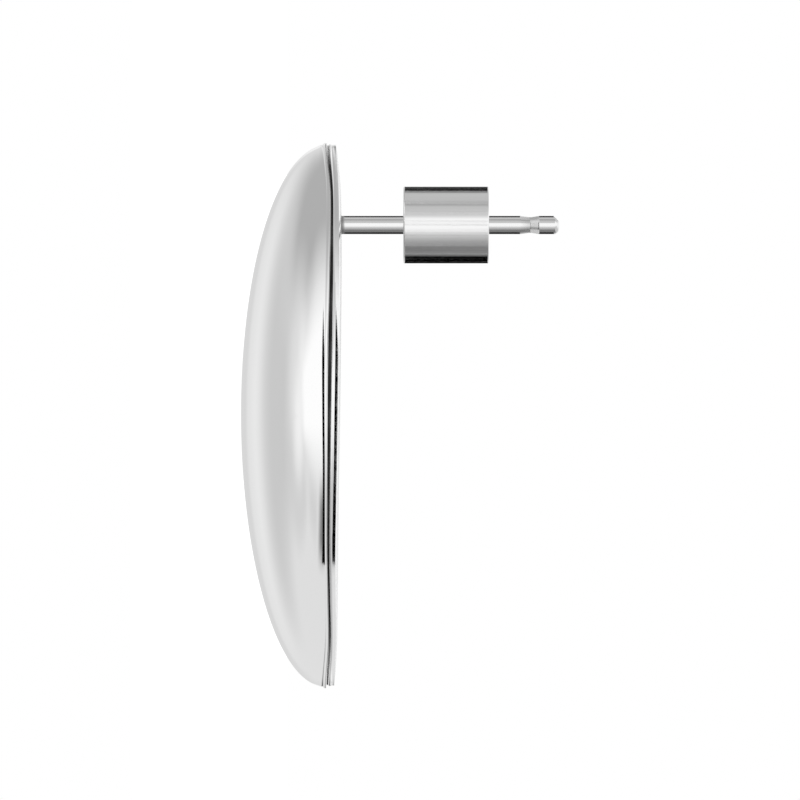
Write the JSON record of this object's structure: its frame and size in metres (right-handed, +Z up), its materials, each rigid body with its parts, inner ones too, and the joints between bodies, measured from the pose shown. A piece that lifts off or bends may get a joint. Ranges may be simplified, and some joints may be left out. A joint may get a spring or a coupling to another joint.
{
  "type": "button earring",
  "caption": "Round domed button stud earring, hollow and polished, with an ear post near its edge and a plain barrel clutch that slides on the post.",
  "frame": {"origin": "lowest point of the dome, under the middle of the button, where the earring rests on a surface", "axes": "+Z up along the ear post, out of the back; the post stands off the middle towards -X; XZ is the mirror plane"},
  "size_m": [0.0274, 0.0274, 0.0159],
  "materials": {
    "polished_button": "mirror-polished silver",
    "polished_back": "polished silver, finely brushed on the flat back",
    "turned_clutch": "drawn and polished silver with faint lengthwise lines"
  },
  "bodies": {
    "button": {"front_dome": "polished_button", "back_plate_with_post": "polished_back"},
    "clutch": {"clutch": "turned_clutch"}
  },
  "joints": [
    {"name": "clutch_slide", "type": "slide", "parent": "button", "child": "clutch", "axis": [0, 0, 1], "range_m": [-0.003, 0.0081]}
  ]
}
